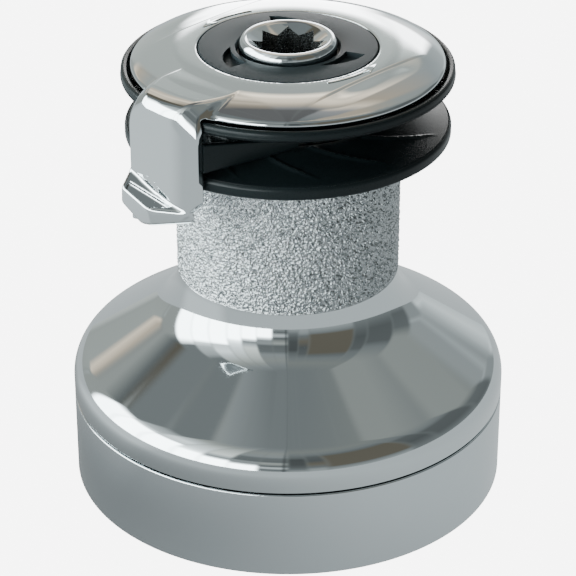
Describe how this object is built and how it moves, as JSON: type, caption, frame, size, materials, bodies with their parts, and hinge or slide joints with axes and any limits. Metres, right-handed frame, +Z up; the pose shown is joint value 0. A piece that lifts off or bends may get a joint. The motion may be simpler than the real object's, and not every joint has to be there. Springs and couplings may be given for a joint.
{
  "type": "sailboat winch",
  "caption": "Two-speed self-tailing deck winch: round base, chromed drum with a crinkled barrel, two jaws, a feeder arm and an eight-point handle socket on top.",
  "frame": {"origin": "centre of the base's underside, on the drum's axis", "axes": "+Z up along the drum's axis, -Y towards the feeder arm"},
  "size_m": [0.157, 0.157, 0.1693],
  "materials": {
    "chrome": "polished chrome plate",
    "black_plastic": "moulded black, slight sheen",
    "slate_plastic": "moulded slate grey, satin",
    "cast_aluminium": "anodised, satin",
    "machined_steel": "machined",
    "spring_steel": "drawn wire",
    "bronze": "machined bronze",
    "acetal": "natural acetal"
  },
  "bodies": {
    "root": {"base_housing": "chrome", "centre_stem": "cast_aluminium", "stem_screw_1": "machined_steel", "stem_screw_2": "machined_steel", "stem_screw_3": "machined_steel", "stem_screw_4": "machined_steel", "layshaft_axle": "machined_steel", "pinion_axle": "machined_steel", "idler_axle": "machined_steel", "spindle_bush": "bronze", "thrust_washer": "acetal", "bearing_spacer": "acetal", "collet_1": "machined_steel", "collet_2": "machined_steel", "feeder_cap": "chrome", "line_stripper": "black_plastic", "top_nut": "slate_plastic"},
    "drum": {"drum": "chrome", "ring_gear": "bronze", "upper_jaw": "black_plastic", "jaw_screw_1": "machined_steel", "jaw_screw_2": "machined_steel", "jaw_screw_3": "machined_steel", "jaw_wave_spring": "spring_steel"},
    "lower_jaw": {"lower_jaw": "black_plastic"},
    "spindle": {"main_spindle": "chrome", "pawl_carrier": "machined_steel", "second_speed_drive_gear": "machined_steel"},
    "first_speed_gear": {"first_speed_gear": "bronze"},
    "idler": {"idler_gear": "machined_steel"},
    "first_speed_pinion": {"first_speed_pinion": "machined_steel"},
    "second_speed_gear": {"second_speed_gear": "bronze"},
    "second_speed_pinion": {"second_speed_pinion": "machined_steel"},
    "lower_bearing": {"roller_cage_1": "acetal", "roller_1_1": "machined_steel", "roller_1_2": "machined_steel", "roller_1_3": "machined_steel", "roller_1_4": "machined_steel", "roller_1_5": "machined_steel", "roller_1_6": "machined_steel", "roller_1_7": "machined_steel", "roller_1_8": "machined_steel"},
    "upper_bearing": {"roller_cage_2": "acetal", "roller_2_1": "machined_steel", "roller_2_2": "machined_steel", "roller_2_3": "machined_steel", "roller_2_4": "machined_steel", "roller_2_5": "machined_steel", "roller_2_6": "machined_steel", "roller_2_7": "machined_steel", "roller_2_8": "machined_steel"},
    "first_pawl_1": {"first_speed_pawl_1": "machined_steel"},
    "first_pawl_2": {"first_speed_pawl_2": "machined_steel"},
    "second_pawl_1": {"second_speed_pawl_1": "machined_steel"},
    "second_pawl_2": {"second_speed_pawl_2": "machined_steel"}
  },
  "joints": [
    {"name": "drum_turn", "type": "hinge", "parent": "root", "child": "drum", "pos_m": [0, 0, 0.08], "axis": [0, 0, -1], "continuous": true},
    {"name": "lower_jaw_slide", "type": "slide", "parent": "drum", "child": "lower_jaw", "axis": [0, 0, -1], "range_m": [0, 0.004], "stiffness_N_per_m": 8000, "springref_m": -0.002, "deforming": ["jaw_wave_spring"]},
    {"name": "spindle_turn", "type": "hinge", "parent": "root", "child": "spindle", "pos_m": [0, 0, 0.08], "axis": [0, 0, -1], "continuous": true},
    {"name": "first_speed_gear_turn", "type": "hinge", "parent": "root", "child": "first_speed_gear", "pos_m": [0, 0, 0.019], "axis": [0, 0, -1], "continuous": true},
    {"name": "idler_turn", "type": "hinge", "parent": "root", "child": "idler", "pos_m": [0.0108, -0.03643, 0.019], "axis": [0, 0, -1], "continuous": true},
    {"name": "first_speed_pinion_turn", "type": "hinge", "parent": "root", "child": "first_speed_pinion", "pos_m": [-0.0125, -0.04219, 0.025], "axis": [0, 0, -1], "continuous": true},
    {"name": "second_speed_gear_turn", "type": "hinge", "parent": "root", "child": "second_speed_gear", "pos_m": [0, 0.039, 0.01], "axis": [0, 0, -1], "continuous": true},
    {"name": "second_speed_pinion_turn", "type": "hinge", "parent": "root", "child": "second_speed_pinion", "pos_m": [0, 0.039, 0.02], "axis": [0, 0, -1], "continuous": true},
    {"name": "lower_bearing_turn", "type": "hinge", "parent": "root", "child": "lower_bearing", "pos_m": [0, 0, 0.058], "axis": [0, 0, -1], "continuous": true},
    {"name": "upper_bearing_turn", "type": "hinge", "parent": "root", "child": "upper_bearing", "pos_m": [0, 0, 0.114], "axis": [0, 0, -1], "continuous": true},
    {"name": "first_pawl_1_swing", "type": "hinge", "parent": "spindle", "child": "first_pawl_1", "pos_m": [0.0135, 0, 0.019], "axis": [0, 0, 1], "range_deg": [-26, 0], "stiffness_Nm_per_rad": 0.02, "springref_deg": 20.05},
    {"name": "first_pawl_2_swing", "type": "hinge", "parent": "spindle", "child": "first_pawl_2", "pos_m": [-0.0135, 0, 0.019], "axis": [0, 0, 1], "range_deg": [-26, 0], "stiffness_Nm_per_rad": 0.02, "springref_deg": 20.05},
    {"name": "second_pawl_1_swing", "type": "hinge", "parent": "second_speed_pinion", "child": "second_pawl_1", "pos_m": [0, 0.0525, 0.0102], "axis": [0, 0, -1], "range_deg": [-9.5, 0], "stiffness_Nm_per_rad": 0.02, "springref_deg": 20.05},
    {"name": "second_pawl_2_swing", "type": "hinge", "parent": "second_speed_pinion", "child": "second_pawl_2", "pos_m": [0, 0.0255, 0.0102], "axis": [0, 0, -1], "range_deg": [-9.5, 0], "stiffness_Nm_per_rad": 0.02, "springref_deg": 20.05}
  ],
  "couplings": [
    {"joint": "spindle_turn", "follows": "drum_turn", "ratio": 2.1538},
    {"joint": "first_speed_gear_turn", "follows": "drum_turn", "ratio": 2.1538},
    {"joint": "idler_turn", "follows": "drum_turn", "ratio": -4.6667},
    {"joint": "first_speed_pinion_turn", "follows": "drum_turn", "ratio": 4.6667},
    {"joint": "second_speed_gear_turn", "follows": "drum_turn", "ratio": -1.1403},
    {"joint": "second_speed_pinion_turn", "follows": "drum_turn", "ratio": 3.2941},
    {"joint": "lower_bearing_turn", "follows": "drum_turn", "ratio": 0.5402},
    {"joint": "upper_bearing_turn", "follows": "drum_turn", "ratio": 0.5402},
    {"joint": "first_pawl_2_swing", "follows": "first_pawl_1_swing", "ratio": 1},
    {"joint": "second_pawl_2_swing", "follows": "second_pawl_1_swing", "ratio": 1}
  ]
}
